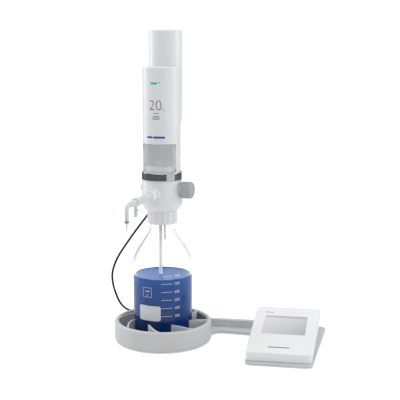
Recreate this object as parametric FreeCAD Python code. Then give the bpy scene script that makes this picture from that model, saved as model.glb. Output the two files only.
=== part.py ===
import FreeCAD, Part
import math
import os

# A motor-driven bottle-top burette on its base, with a touch-screen control unit.
# Millimetres. The origin is on the table under the bottle's axis, +Z is up, -Y faces the user
# and +X points from the bottle to the control unit.

V = FreeCAD.Vector
X = V(1, 0, 0)
Y = V(0, 1, 0)
Z = V(0, 0, 1)
ORIGIN = V(0, 0, 0)

# ---- driving dimensions ----

# fits
running = 0.05        # radial clearance of a shaft or slide
loose = 0.3           # clearance between pieces that move past each other
snug = 0.1            # clearance of a piece let into another in the same body
hair = 0.02           # between two faces of one body that meet

# bottle, one litre, GL45 neck
bottle_r = 50.5
bottle_height = 225
bottle_wall = 3
neck_r = 20
neck_bore_r = 16
thread_r = 22.3
thread_pitch = 4.2
lip_r = 21.2
bottle_floor = 5
shoulder_height = 46
neck_height = 34      # from the shoulder's head to the lip

# base
foot_gap = 1.5
foot_r = 6
foot_let_in = 1
tray_r = 83.5
tray_top = 36
tray_wall = 3
tray_floor = 2.5
lip_width = 7.5
lip_height = 4.5
fin_count = 8
fin_thick = 3
fin_gap = 0.7         # between the fins and the bottle
fin_rise = 5          # how far the inner ends stand above the rim
fin_first = 29        # degrees
fin_sweep = 30
plinth_thick = 4
plinth_x = 211
plinth_front = -111
plinth_back = 100
plinth_front_half = 54
plinth_back_half = 66
arm_front = 42
arm_back = 76
ridge_width = 10
ridge_top = 19

# control unit
unit_x = 210.5
unit_front = -104
unit_length = 203
unit_front_half = 53.5
unit_back_half = 57
unit_front_top = 20.5
unit_back_top = 38
cover_depth = 14.5
cover_wall = 3.5
cover_top = 2.5
shell_inset = 2.5
shell_wall = 2.5
screen_width = 73
screen_length = 81
screen_from_front = 79
screen_lap = 2        # of the touch panel under the opening's edge
glass_let_in = 2.4
panel_thick = 1.2
display_thick = 3.5
board_thick = 1.6
board_stand = 3
unit_screw_let_in = 2.6
power_x = -23         # of the power inlet from the unit's middle
power_width = 14
inlet_bore_r = 2.8
inlet_depth = 9
data_x = 18
data_width = 18

# screw collar and lip seal
collar_r = 25.5
collar_skirt = 22.5   # height of the ribbed part
collar_neck_r = 23.4
collar_neck = 6
collar_flutes = 16
seal_thick = 1.3
flange_thick = 2.1
spigot_r = 18.5

# head
head_yaw = -10        # degrees, the head's turn on the bottle at rest
block_r = 35
block_height = 52.2
block_top_r = 33.2
ring_r = 34.3
ring_height = 13.5
ring_wall = 2.7
ring_screw_out = 2.6  # of the clamp screw's axis from the ring's outside
disc_height = 8       # the block's round plate inside the clamp ring
housing_r = 31.5
housing_wall = 2.5
window_height = 48.5
window_half = 71      # degrees each side of the front
body_height = 126.5   # white body above the window
column_r = 28
column_wall = 2.5
column_foot_r = 24.5
column_foot = 100.5   # below the body's top
column_taper = 22
column_rise = 60.1    # above the body's top

# dosing cylinder and drive
dose_volume = 20000
bore_r = 12.62
cylinder_wall = 2.3
seat_r = 26.8         # raised seat round the foot of the glass cylinder
plug_top = 7.5        # the block's plug inside the cylinder, above the clamp ring
piston_gap = 1
seal_height = 6
piston_height = 10
piston_core_r = 9
rod_r = 11.5
rod_bore_r = 10
rod_length = 79
carriage_thick = 8
nut_height = 12
nut_r = 7.5
nut_hole_r = 5.5
screw_r = 4
screw_pitch = 4
journal_r = 3
guide_r = 2
guide_gap = 0.98      # between the glass cylinder's seat and a guide rod
bearing_r = 9.5
bearing_width = 6
chassis_thick = 6
gear_module = 0.8
addendum = 0.9        # in modules
spindle_teeth = 32
pinion_teeth = 16
gear_width = 5
motor_r = 18
motor_length = 46
motor_shaft_r = 2.5
motor_screw_x = 12
column_screw_x = 13
window_screw_in = 2.6   # degrees in from the window's edge

# valve, knob and discharge arm
valve_height = 35.5   # of the valve's axis above the block's foot
plug_r = 6
knob_r = 14.2
knob_length = 19
knob_ribs = 36
knob_boss_r = 9
vent_rise = 1.5       # of the vent above the valve's axis
vent_r = 4
vent_cap_r = 7.5
vent_let_in = 0.8
arm_height = 30.7     # of the arm's axis above the block's foot
arm_boss_r = 10
arm_boss_length = 6
arm_reach = 146
arm_nut_r = 8.6
arm_r = 5.6
arm_root_r = 6.6      # of the sleeve where it leaves its nut
arm_end = 136
tube_r = 3.4
tube_bore_r = 1.6
elbow_r = 9
arm_drop = 23.3       # from the arm's axis down to the nozzle
nozzle_nut_r = 3.8
cannula_length = 17
cap_place = 111
cap_r = 2.9
cap_length = 14
peg_r = 1.8

# tubes in the bottle
intake_x = -3.5
return_x = 4.5
sleeve_r = 3
sleeve_bore_r = 2.25
sleeve_length = 116
intake_r = 2.15
intake_gap = 3        # between the intake tube and the bottle's floor
intake_overlap = 25.7   # of the intake tube inside its sleeve
return_r = 2
return_length = 62
duct_r = 1.2
cage_r = 4.5
cage_length = 19      # of the inlet valve's cage
cage_seat = 9         # from the cage's end to its ball seat
outlet_cage_length = 15.4
outlet_cage_seat = 5
ball_r = 2.5

# head cable
cable_r = 2
socket_angle = 115
socket_z = 12.5
plug_roll = 20        # degrees, the plug's boot turned up out of the level
socket_r = 6.5
socket_wall = 1.6
boot_place = 9.5      # the boot's axis out from the tray's wall
gland_length = 22
boot_length = 22

# ---- places that follow from them ----
floor_z = foot_gap + tray_floor
shoulder_head = floor_z + bottle_height - neck_height
shoulder_foot = shoulder_head - shoulder_height
lip_z = floor_z + bottle_height
flange_z = lip_z + seal_thick
collar_top = flange_z + flange_thick + snug + 2
collar_shoulder = collar_top - collar_neck
block_z = collar_shoulder + loose
valve_z = block_z + valve_height
vent_z = valve_z + vent_rise
arm_z = block_z + arm_height
arm_seat_y = -block_r - arm_boss_length
down_end = arm_z - arm_drop
intake_foot = floor_z + bottle_floor + intake_gap
sleeve_foot = flange_z - sleeve_length
ring_z = block_z + block_height
disc_top = ring_z + disc_height
ring_top = ring_z + ring_height
window_top = ring_top + window_height
body_top = window_top + body_height
plug_z = ring_top + plug_top
glass_r = bore_r + cylinder_wall
guide_spacing = glass_r + snug + guide_gap + guide_r
piston_z = plug_z + piston_gap
stroke = dose_volume / (math.pi * bore_r ** 2)
rod_z = piston_z + piston_height
carriage_z = rod_z + rod_length
nut_z = carriage_z + carriage_thick
chassis_z = nut_z + nut_height + stroke + 1
bearing_z = chassis_z
gear_z = chassis_z + chassis_thick + 1.5
gear_centres = gear_module * (spindle_teeth + pinion_teeth) / 2
pinion_tip_r = gear_module * (pinion_teeth / 2 + addendum)
lid_z = body_top - housing_wall
column_z = body_top - column_foot
column_top = body_top + column_rise
column_y = gear_centres
gland_y = (housing_r + column_y + column_foot_r) / 2 - 1
slope = math.atan2(unit_back_top - unit_front_top, unit_length)
plinth_top = foot_gap + plinth_thick
board_z = plinth_top + shell_wall + board_stand

cable_route = [
    (6.36, 36.04, 330),
    (6.2, 39.0, 312),
    (4.6, 44.6, 292),
    (-2.5, 48.0, 266),
    (-16.0, 48.2, 238),
    (-35.6, 46.5, 210),
    (-54.9, 46.2, 185),
    (-76.1, 45.5, 155),
    (-93.1, 44.5, 129),
    (-102.4, 44.0, 103),
    (-101.5, 45.0, 82),
    (-96.8, 48.2, 62),
    (-91.0, 53.5, 44),
    (-82.2, 60.8, 31),
    (-70.8, 69.6, 25.1),
]


# ---- plain shapes ----

def cylinder(r, z0, z1, x=0, y=0):
    return Part.makeCylinder(r, z1 - z0, V(x, y, z0), Z)


def ring(r_out, r_in, z0, z1, x=0, y=0):
    return cylinder(r_out, z0, z1, x, y).cut(cylinder(r_in, z0 - 1, z1 + 1, x, y))


def bar_x(r, x0, x1, y=0, z=0):
    return Part.makeCylinder(r, x1 - x0, V(x0, y, z), X)


def bar_y(r, y0, y1, x=0, z=0):
    return Part.makeCylinder(r, y1 - y0, V(x, y0, z), Y)


def block(x0, x1, y0, y1, z0, z1):
    return Part.makeBox(x1 - x0, y1 - y0, z1 - z0, V(x0, y0, z0))


def turned(shape, degrees, centre=ORIGIN, axis=Z):
    copy = shape.copy()
    copy.rotate(centre, axis, degrees)
    return copy


def moved(shape, x=0, y=0, z=0):
    copy = shape.copy()
    copy.translate(V(x, y, z))
    return copy


def around(shape, count, first=0):
    return [turned(shape, first + 360.0 * i / count) for i in range(count)]


def polar(r, degrees, z=0):
    angle = math.radians(degrees)
    return V(r * math.cos(angle), r * math.sin(angle), z)


def rounded_edges(points, radii):
    """Closed outline with each corner rounded by a tangent arc of its own radius."""
    count = len(points)
    starts = []
    ends = []
    middles = []
    for i, point in enumerate(points):
        before = points[i - 1] - point
        after = points[(i + 1) % count] - point
        before.normalize()
        after.normalize()
        radius = radii[i]
        half = before.getAngle(after) / 2
        if radius == 0 or abs(half - math.pi / 2) < 1e-6:
            starts.append(point)
            ends.append(point)
            middles.append(None)
            continue
        reach = radius / math.tan(half)
        bisector = before + after
        bisector.normalize()
        starts.append(point + before * reach)
        ends.append(point + after * reach)
        middles.append(point + bisector * (radius / math.sin(half) - radius))
    edges = []
    for i in range(count):
        if middles[i] is not None:
            edges.append(Part.Arc(starts[i], middles[i], ends[i]).toShape())
        following = starts[(i + 1) % count]
        if ends[i].distanceToPoint(following) > 1e-6:
            edges.append(Part.LineSegment(ends[i], following).toShape())
    return edges


def outline(points, radii):
    return Part.Face(Part.Wire(rounded_edges(points, radii)))


def spun(profile, radii=None, x=0, y=0):
    """Solid of revolution about a vertical axis from (radius, height) points."""
    points = [V(r, 0, z) for r, z in profile]
    face = outline(points, radii or [0] * len(points))
    return moved(face.revolve(ORIGIN, Z, 360), x, y)


def plate(profile, radii, z0, z1):
    points = [V(x, y, z0) for x, y in profile]
    return outline(points, radii).extrude(V(0, 0, z1 - z0))


def fused(first, *others):
    return first.multiFuse(list(others)).removeSplitter()


def cut(first, *others):
    for other in others:
        first = first.cut(other)
    return first


def softened(shape, radius, chosen):
    edges = [edge for edge in shape.Edges if chosen(edge)]
    return shape.makeFillet(radius, edges)


def group(shapes):
    return Part.makeCompound(shapes)


def sector(r_out, r_in, z0, z1, first, last):
    """Part of a ring between two angles."""
    tube = Part.makeCylinder(r_out, z1 - z0, V(0, 0, z0), Z, last - first)
    return turned(tube, first).cut(cylinder(r_in, z0 - 1, z1 + 1))


def screw(shaft_r, length, head_r, head_height):
    """Pan-head screw with a socket, its shaft down from the origin and its head above."""
    head = cylinder(head_r, 0, head_height)
    socket = cylinder(head_r * 0.45, head_height * 0.5, head_height + 1)
    return head.cut(socket).fuse(cylinder(shaft_r, -length, 0))


pieces = {}


def keep(name, shape):
    pieces[name] = shape


def keep_on_head(name, shape):
    pieces[name] = turned(shape, head_yaw)


# ---- base: tray, link arm and plinth, one grey moulding in two solids ----

def fin():
    """Curved web from the bottle's side to the tray's wall."""
    inner = bottle_r + fin_gap
    outer = tray_r - tray_wall / 2
    start = polar(inner - 2, -1)
    middle = polar(inner + (outer - inner) * 0.5, fin_sweep * 0.42)
    end = polar(outer, fin_sweep)
    centre = Part.Circle(start, middle, end).Center
    sides = []
    for shift in (-fin_thick / 2, fin_thick / 2):
        side = []
        for point in (start, middle, end):
            out = point - centre
            out.normalize()
            side.append(point + out * shift)
        sides.append(side)
    near, far = sides
    edges = [Part.Arc(*near).toShape(), Part.LineSegment(near[2], far[2]).toShape(),
             Part.Arc(far[2], far[1], far[0]).toShape(), Part.LineSegment(far[0], near[0]).toShape()]
    web = moved(Part.Face(Part.Wire(edges)), 0, 0, floor_z - 0.5).extrude(V(0, 0, tray_top))
    crest = tray_top + fin_rise
    rim = tray_r - lip_width
    limit = spun([(inner - 5, foot_gap + 1), (tray_r - 1, foot_gap + 1), (tray_r - 1, tray_top - 4),
                  (rim + 2, tray_top - 1), ((inner + rim) / 2, crest - 2), (inner + 3, crest),
                  (inner - 5, crest)],
                 [0, 0, 0, 4, 20, 1, 0])
    return cut(web.common(limit), cylinder(inner, 0, crest + 1))


def foot_places():
    tray_feet = [ORIGIN] + [polar(tray_r - 14, angle) for angle in (90, 210, 330)]
    plinth_feet = []
    for y, half in ((plinth_front + 13, plinth_front_half), (plinth_back - 13, plinth_back_half)):
        for side in (-1, 1):
            plinth_feet.append(V(plinth_x + side * (half - 16), y, 0))
    return tray_feet, plinth_feet


def base_socket_hole():
    hole = bar_x(socket_r + snug, tray_r - 12, tray_r + 5, 0, socket_z)
    return turned(hole, socket_angle)


def bottle_tray():
    rim = tray_r - lip_width
    inside = tray_r - tray_wall
    bowl = spun([(0, foot_gap), (tray_r, foot_gap), (tray_r, tray_top), (rim, tray_top),
                 (rim, tray_top - lip_height), (inside, tray_top - 2 * lip_height), (inside, floor_z),
                 (0, floor_z)],
                [0, 3.5, 3.5, 1.5, 1.5, 2, 2, 0])
    tray = fused(bowl, *around(fin(), fin_count, fin_first))
    pockets = [cylinder(foot_r + snug, 0, foot_gap + foot_let_in, p.x, p.y) for p in foot_places()[0]]
    return cut(tray, base_socket_hole(), *pockets)


def link_plinth():
    left_front, right_front = plinth_x - plinth_front_half, plinth_x + plinth_front_half
    left_back, right_back = plinth_x - plinth_back_half, plinth_x + plinth_back_half
    table = plate([(left_front, plinth_front), (right_front, plinth_front), (right_back, plinth_back),
                   (left_back, plinth_back)],
                  [8, 8, 12, 12], foot_gap, plinth_top)
    table = softened(table, 1.2, lambda e: e.BoundBox.ZMin > plinth_top - 0.01)
    joint_x = left_back + 8
    flare = 14
    shelf = plate([(tray_r * 0.6, arm_front - flare), (tray_r - 5, arm_front - flare),
                   (tray_r + 8, arm_front + 2), (joint_x, arm_front - 2), (joint_x, arm_back),
                   (tray_r * 0.4, arm_back)],
                  [0, 0, 12, 0, 0, 0], foot_gap, plinth_top)
    ridge_end = unit_x - unit_back_half - 2
    ridge = block(tray_r * 0.3, ridge_end, arm_back - ridge_width, arm_back, foot_gap, ridge_top)
    ridge = softened(ridge, 1.2, lambda e: e.BoundBox.ZMin > ridge_top - 0.01)
    clear_of_tray = cylinder(tray_r, -1, tray_top + 5)
    solid = fused(table, cut(fused(shelf, ridge), clear_of_tray))
    pockets = [cylinder(foot_r + snug, 0, foot_gap + foot_let_in, p.x, p.y) for p in foot_places()[1]]
    bores = [cylinder(1.6, 0, plinth_top + 1, x, y) for x, y in unit_screw_places()]
    counterbores = [cylinder(3.1, 0, foot_gap + unit_screw_let_in, x, y) for x, y in unit_screw_places()]
    return cut(solid, *pockets, *bores, *counterbores)


def base_feet():
    places = foot_places()[0] + foot_places()[1]
    top = foot_gap + foot_let_in
    return group([spun([(0, 0), (foot_r - 0.5, 0), (foot_r, foot_gap), (foot_r, top), (0, top)], None, p.x, p.y)
                  for p in places])


# ---- control unit ----

def unit_half(y):
    share = (y - unit_front) / unit_length
    return unit_front_half + (unit_back_half - unit_front_half) * share


def unit_outline(inset, corner):
    front = unit_front + inset
    back = unit_front + unit_length - inset
    return ([(unit_x - unit_half(front) + inset, front), (unit_x + unit_half(front) - inset, front),
             (unit_x + unit_half(back) - inset, back), (unit_x - unit_half(back) + inset, back)],
            [corner] * 4)


def under_slope(depth):
    """Everything below a plane parallel to the sloping face, this far under it at the front."""
    front = unit_front - 20
    back = unit_front + unit_length + 20
    rise = math.tan(slope)
    points = [V(unit_x - 80, front, 0), V(unit_x - 80, back, 0),
              V(unit_x - 80, back, unit_front_top - depth + (unit_length + 20) * rise),
              V(unit_x - 80, front, unit_front_top - depth - 20 * rise)]
    return outline(points, [0] * 4).extrude(V(160, 0, 0))


def on_slope(shape):
    """From the flat frame of the sloping face (x across, y up the slope, z out of it) to its place."""
    return moved(turned(shape, math.degrees(slope), ORIGIN, X), unit_x, unit_front, unit_front_top)


def screen_box(margin, z0, z1):
    return on_slope(block(-screen_width / 2 - margin, screen_width / 2 + margin, screen_from_front - margin,
                          screen_from_front + screen_length + margin, z0, z1))


def unit_screw_places():
    front = unit_front + 30
    back = unit_front + unit_length - 22
    return [(unit_x + side * (unit_half(y) - 11), y) for y in (front, back) for side in (-1, 1)]


def unit_cover():
    points, radii = unit_outline(0, 7)
    solid = plate(points, radii, 0, 80).common(under_slope(0))
    solid = softened(solid, 1.8, lambda e: e.CenterOfMass.z > unit_front_top * 0.9 and
                     e.BoundBox.ZMin > unit_front_top - 3)
    points, radii = unit_outline(cover_wall, 4)
    hollow = plate(points, radii, 0, 80).common(under_slope(cover_top))
    shell = cut(solid, under_slope(cover_depth), hollow)
    posts = []
    for x, y in unit_screw_places():
        top = unit_front_top + (y - unit_front) * math.tan(slope) - 1.2
        posts.append(ring(3.6, 1.25, plinth_top + shell_wall, top, x, y))
    shell = fused(shell, *posts)
    panel_seat = screen_box(screen_lap + snug, -glass_let_in - panel_thick - snug, -glass_let_in)
    return cut(shell, screen_box(0, -20, 5), panel_seat)


def socket_block(x, width):
    back = unit_front + unit_length - shell_inset
    base = board_z + board_thick
    return block(unit_x + x - width / 2, unit_x + x + width / 2, back - 16, back, base, base + 10)


def unit_shell():
    points, radii = unit_outline(shell_inset, 5)
    solid = plate(points, radii, plinth_top, 80).common(under_slope(cover_depth))
    points, radii = unit_outline(shell_inset + shell_wall, 3)
    hollow = plate(points, radii, plinth_top + shell_wall, 80)
    shell = cut(solid, hollow)
    board_stands = [ring(3, 1, plinth_top + shell_wall - 0.5, board_z, x, y)
                    for x, y in board_screw_places()]
    shell = fused(shell, *board_stands)
    openings = [moved(socket_block(x, width + 2 * snug), 0, 6)
                for x, width in ((power_x, power_width), (data_x, data_width))]
    bores = [cylinder(1.6, 0, 20, x, y) for x, y in unit_screw_places()]
    return cut(shell, *openings, *bores)


def board_screw_places():
    back = unit_front + unit_length - shell_inset - shell_wall
    return [(unit_x + side * 36, y) for y in (back - 108, back - 26) for side in (-1, 1)]


def control_board():
    back = unit_front + unit_length - shell_inset - shell_wall
    top = board_z + board_thick
    board = block(unit_x - 41, unit_x + 41, back - 114, back - 2, board_z, top)
    chips = [block(unit_x - 12, unit_x + 4, back - 70, back - 54, top, top + 1.4),
             block(unit_x + 16, unit_x + 26, back - 64, back - 52, top, top + 1.2),
             cylinder(4, top, top + 7, unit_x - 34, back - 45)]
    holes = [cylinder(1.1, 0, 40, x, y) for x, y in board_screw_places()]
    return cut(fused(board, *chips), *holes)


def unit_screws():
    """Four long screws from under the plinth and four short ones for the board."""
    long_one = turned(screw(1.2, 9.5, 2.8, 2), 180, ORIGIN, X)
    under = [moved(long_one, x, y, foot_gap + unit_screw_let_in) for x, y in unit_screw_places()]
    inside = [moved(screw(0.95, 4, 1.9, 1.4), x, y, board_z + board_thick) for x, y in board_screw_places()]
    return group(under + inside)


def power_inlet():
    body = socket_block(power_x, power_width)
    middle = body.BoundBox.Center
    back = body.BoundBox.YMax
    return cut(body, bar_y(inlet_bore_r, back - inlet_depth, back + 1, middle.x, middle.z))


def data_socket():
    body = socket_block(data_x, data_width)
    box = body.BoundBox
    mouth = block(box.XMin + 2, box.XMax - 2, box.YMax - 11, box.YMax + 1, box.ZMin + 1.5, box.ZMax - 1.5)
    return cut(body, mouth)


# ---- bottle, lip seal and screw collar ----

def bottle():
    foot = floor_z
    outside = spun([(0, foot), (bottle_r, foot), (bottle_r, shoulder_foot), (neck_r, shoulder_head),
                    (neck_r, lip_z), (0, lip_z)], [0, 8, 45, 16, 0, 0])
    inside_r = bottle_r - bottle_wall
    inside_foot = foot + bottle_floor
    inside = spun([(0, inside_foot), (inside_r, inside_foot), (inside_r, shoulder_foot - bottle_wall / 2),
                   (neck_bore_r, shoulder_head - bottle_wall / 2), (neck_bore_r, lip_z + 1), (0, lip_z + 1)],
                  [0, 6, 42, 20, 0, 0])
    lip = spun([(neck_r - 1, lip_z - 4), (lip_r, lip_z - 4), (lip_r, lip_z), (neck_r - 1, lip_z)],
               [0, 1.2, 1.2, 0])
    threads = []
    for turn in range(3):
        z = lip_z - 9 - turn * thread_pitch
        threads.append(spun([(neck_r - 1, z - 1.6), (neck_r, z - 1.6), (thread_r, z - 0.6), (thread_r, z + 0.6),
                             (neck_r, z + 1.6), (neck_r - 1, z + 1.6)]))
    punt = Part.makeSphere(90, V(0, 0, foot - 90 + 2.2)).common(cylinder(bottle_r - 9, foot - 1, foot + 3))
    return cut(fused(outside, lip, *threads), inside, punt)


def lip_seal():
    return ring(lip_r, neck_bore_r + 0.5, lip_z, lip_z + seal_thick - running)


def screw_collar():
    foot = collar_shoulder - collar_skirt
    flange_top = flange_z + flange_thick + snug
    body = spun([(thread_r + 0.5, foot), (collar_r, foot), (collar_r, collar_shoulder),
                 (collar_neck_r, collar_shoulder), (collar_neck_r, collar_top), (spigot_r + loose, collar_top),
                 (spigot_r + loose, flange_top), (lip_r + 0.6, flange_top), (lip_r + 0.6, lip_z - 6),
                 (thread_r + 0.5, lip_z - 7.5)],
                [0, 1, 1, 0, 0.6, 0, 0, 0, 0, 0])
    groove = cylinder(1.9, foot - 1, collar_shoulder - 2, collar_r + 0.8)
    return cut(body, *around(groove, collar_flutes, 360.0 / collar_flutes / 2))


# ---- valve block and what is in it ----

def valve_block():
    body = spun([(collar_neck_r + 0.6, block_z), (collar_r + 3, block_z), (block_r, block_z + 9),
                 (block_r, block_z + 24), (block_top_r, ring_z), (0, ring_z), (0, collar_top + loose),
                 (collar_neck_r + 0.6, collar_top + loose)],
                [0, 4, 12, 20, 0, 0, 0, 0])
    disc = cylinder(housing_r, ring_z - 1, disc_top)
    cylinder_plug = cylinder(bore_r - 0.2, disc_top - 1, plug_z)
    spigot = cylinder(spigot_r, flange_z, collar_top + 2)
    flange = cylinder(lip_r, flange_z, flange_z + flange_thick)
    knob_boss = bar_x(knob_boss_r, block_r - 8, block_r + 0.6, 0, valve_z)
    arm_boss = bar_y(arm_boss_r, arm_seat_y, -block_r + 8, 0, arm_z)
    seat = ring(seat_r, glass_r + snug, disc_top - 1, plug_z + 2)
    solid = fused(body, disc, seat, cylinder_plug, spigot, flange, knob_boss, arm_boss)
    plug_bore = bar_x(plug_r + running, -plug_r - 1, block_r + 5, 0, valve_z)
    chamber_duct = cylinder(2.5, valve_z, plug_z + 1)
    inlet_duct = cylinder(1.6, flange_z - 1, valve_z, intake_x)
    inlet_seat = cylinder(cage_r, flange_z - 1, flange_z + cage_length, intake_x)
    return_duct = cylinder(duct_r, flange_z - 1, valve_z, return_x)
    return_seat = cylinder(return_r, flange_z - 1, flange_z + 8, return_x)
    outlet_duct = bar_y(1.6, -block_r, 0, 0, arm_z)
    outlet_seat = bar_y(cage_r, arm_seat_y - 1, -block_r + 9, 0, arm_z)
    vent_bore = bar_x(vent_r, -block_r - 1, -block_r + 9, 0, vent_z)
    vent_flat = bar_x(vent_cap_r + 0.2, -block_r - 5, -block_r + vent_let_in, 0, vent_z)
    groove = spun([(bore_r - 1.6, plug_z - 5), (bore_r + 1, plug_z - 5), (bore_r + 1, plug_z - 2.6),
                   (bore_r - 1.6, plug_z - 2.6)])
    return cut(solid, plug_bore, chamber_duct, inlet_duct, inlet_seat, return_duct, return_seat,
               outlet_duct, outlet_seat, vent_bore, vent_flat, groove)


def vent_cap():
    depth = 8.05
    top = depth + 2.35
    stem = ring(vent_r, 2, 0, depth + 0.45)
    hat = spun([(0, depth), (vent_cap_r, depth), (vent_cap_r, top), (0, top)], [0, 0, 1, 0])
    slot = block(2, 3.2, -0.6, 0.6, depth - 1, depth + 1)
    cap = cut(fused(stem, hat), *around(slot, 4))
    return moved(turned(cap, -90, ORIGIN, Y), -block_r + vent_let_in + depth, 0, vent_z)


def inlet_cage():
    z = flange_z
    nipple = ring(sleeve_bore_r, duct_r, z - 8, z)
    seat_z = z + cage_seat
    top = z + cage_length
    wall = ball_r + loose
    cage = spun([(duct_r, z), (cage_r, z), (cage_r, top), (duct_r, top), (duct_r, seat_z + 8),
                 (wall, seat_z + 7), (wall, seat_z + duct_r), (duct_r, seat_z)])
    return moved(fused(cage, nipple), intake_x)


def seated_ball(seat):
    """Height of a ball just clear of its seat, a cone from the duct up to the chamber's wall."""
    wall = ball_r + loose
    cone = math.atan2(duct_r, wall - duct_r)
    return seat + duct_r + ball_r / math.cos(cone) - wall * math.tan(cone) + hair


def inlet_ball():
    return Part.makeSphere(ball_r, V(intake_x, 0, seated_ball(flange_z + cage_seat)))


def outlet_cage():
    """Same cage as at the inlet, laid along the arm."""
    seat = outlet_cage_seat
    wall = ball_r + loose
    outside = cage_r - running
    cage = spun([(duct_r, 0), (outside, 0), (outside, outlet_cage_length), (duct_r, outlet_cage_length),
                 (duct_r, seat + 8.5), (wall, seat + 7.5), (wall, seat + duct_r), (duct_r, seat)])
    return moved(turned(cage, 90, ORIGIN, X), 0, -block_r + 9, arm_z)


def outlet_ball():
    return Part.makeSphere(ball_r, V(0, -block_r + 9 - seated_ball(outlet_cage_seat), arm_z))


def intake_sleeve():
    return ring(sleeve_r, sleeve_bore_r, sleeve_foot, flange_z, intake_x)


def intake_tube():
    tube = ring(intake_r, 1.3, intake_foot, sleeve_foot + intake_overlap, intake_x)
    notch = block(intake_x - 3, intake_x + 3, -0.8, 0.8, intake_foot - 1, intake_foot + 2)
    return tube.cut(notch)


def return_tube():
    return ring(return_r, duct_r, flange_z + 8 - return_length, flange_z + 8, return_x)


def valve_plug():
    body = bar_x(plug_r, -plug_r, block_r + 1, 0, valve_z)
    stem = bar_x(3.5, block_r, block_r + 1 + knob_length * 0.7, 0, valve_z)
    cross = cylinder(1.5, valve_z - 10, valve_z + 10)
    side = bar_y(1.5, -10, 0, 0, valve_z)
    return cut(fused(body, stem), cross, side)


def valve_knob():
    x = block_r + 1
    body = spun([(0, 0), (knob_r, 0), (knob_r, knob_length), (0, knob_length)], [0, 3, 3.5, 0])
    ribs = around(cylinder(0.45, -1, knob_length + 1, knob_r + 0.1), knob_ribs)
    hollow = cylinder(3.5, -1, knob_length * 0.7)
    knob = cut(body, hollow, *ribs)
    return moved(turned(knob, 90, ORIGIN, Y), x, 0, valve_z)


# ---- discharge arm ----

def arm_nut():
    nut = spun([(4.6, 0), (arm_nut_r, 0), (arm_nut_r, 13), (arm_nut_r - 1, 15), (4.6, 15)],
               [0, 1, 1, 0.6, 0])
    nut = moved(turned(nut, 90, ORIGIN, X), 0, arm_seat_y - hair, arm_z)
    return cut(nut, bar_y(arm_root_r, arm_seat_y - 24, arm_seat_y - 4, 0, arm_z))


def discharge_arm():
    start = arm_seat_y - 4
    length = arm_end + start
    clip_front = cap_place + start - 6
    sleeve = spun([(tube_r, 0), (arm_root_r, 0), (arm_root_r, clip_front * 0.35), (arm_r, clip_front),
                   (arm_r, clip_front + 14), (tube_r + 0.8, length), (tube_r, length)],
                  [0, 0, 60, 30, 8, 0.5, 0])
    return moved(turned(sleeve, 90, ORIGIN, X), 0, start, arm_z)


def bent_tube(radius, start_y):
    """Along the arm, round the elbow and down to the nozzle."""
    corner_y = -arm_reach
    path = [Part.LineSegment(V(0, start_y, arm_z), V(0, corner_y + elbow_r, arm_z)).toShape()]
    turn = elbow_r * (1 - math.sqrt(0.5))
    path.append(Part.Arc(V(0, corner_y + elbow_r, arm_z), V(0, corner_y + turn, arm_z - turn),
                         V(0, corner_y, arm_z - elbow_r)).toShape())
    path.append(Part.LineSegment(V(0, corner_y, arm_z - elbow_r), V(0, corner_y, down_end)).toShape())
    section = Part.Wire(Part.Circle(V(0, start_y, arm_z), Y, radius).toShape())
    return Part.Wire(path).makePipeShell([section], True, False)


def discharge_tube():
    start = arm_seat_y - 2
    outer = bent_tube(tube_r, start)
    inner = bent_tube(tube_bore_r, start)
    return outer.cut(inner)


def nozzle_nut():
    nut = spun([(0.8, down_end - 4.2), (3, down_end - 4.2), (nozzle_nut_r, down_end - 3.2),
                (nozzle_nut_r, down_end - hair), (0.8, down_end - hair)], [0, 0, 0, 0.5, 0], 0, -arm_reach)
    rib = cylinder(0.3, down_end - 5, down_end + 1, nozzle_nut_r + 0.1)
    ribs = [moved(turned_rib, 0, -arm_reach) for turned_rib in around(rib, 12)]
    return cut(nut, *ribs)


def cannula():
    top = down_end - 4.2
    foot = top - cannula_length
    return spun([(0.5, foot), (0.9, foot), (1.7, top), (0.8, top), (0.8, top + 4), (0.5, top + 4)], None,
                0, -arm_reach)


def cap_top():
    return arm_z - arm_r - 4.8


def cap_holder():
    clip = bar_y(arm_r + 1.5, -cap_place - 4, -cap_place + 4, 0, arm_z)
    neck = cylinder(2.6, cap_top(), arm_z - arm_r + 0.5, 0, -cap_place)
    peg = cylinder(peg_r, cap_top() - cap_length + 3, cap_top() + 1, 0, -cap_place)
    return cut(fused(clip, neck, peg), bar_y(arm_r, -cap_place - 9, -cap_place + 9, 0, arm_z))


def tip_cap():
    top = cap_top() - hair
    body = spun([(0, top - cap_length), (cap_r, top - cap_length), (cap_r, top), (0, top)],
                [0, 1.2, 0.4, 0], 0, -cap_place)
    tab = bar_x(1.3, 0, cap_r + 2.2, -cap_place, top - 2)
    bore = cylinder(peg_r + running, top - cap_length + 2, top + 1, 0, -cap_place)
    return cut(fused(body, tab), bore)


# ---- clamp ring, housings and window ----

def clamp_ring():
    inner = ring_r - ring_wall
    band = spun([(inner, ring_z), (ring_r, ring_z), (ring_r, ring_top), (inner, ring_top)], [0, 1, 1, 0])
    body = fused(band, block(-6, 6, ring_r - 1.5, ring_r + 5, ring_z + 3, ring_top - 3))
    slot = block(-1, 1, ring_r - 6, ring_r + 8, ring_z - 1, ring_top + 1)
    middle = (ring_z + ring_top) / 2
    return cut(body, slot, bar_x(1.6, -10, 10, ring_r + ring_screw_out, middle))


def clamp_screw():
    middle = (ring_z + ring_top) / 2
    one = turned(screw(1.5, 13, 2.6, 2), 90, ORIGIN, Y)
    return moved(one, 6 + hair, ring_r + ring_screw_out, middle)


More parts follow.
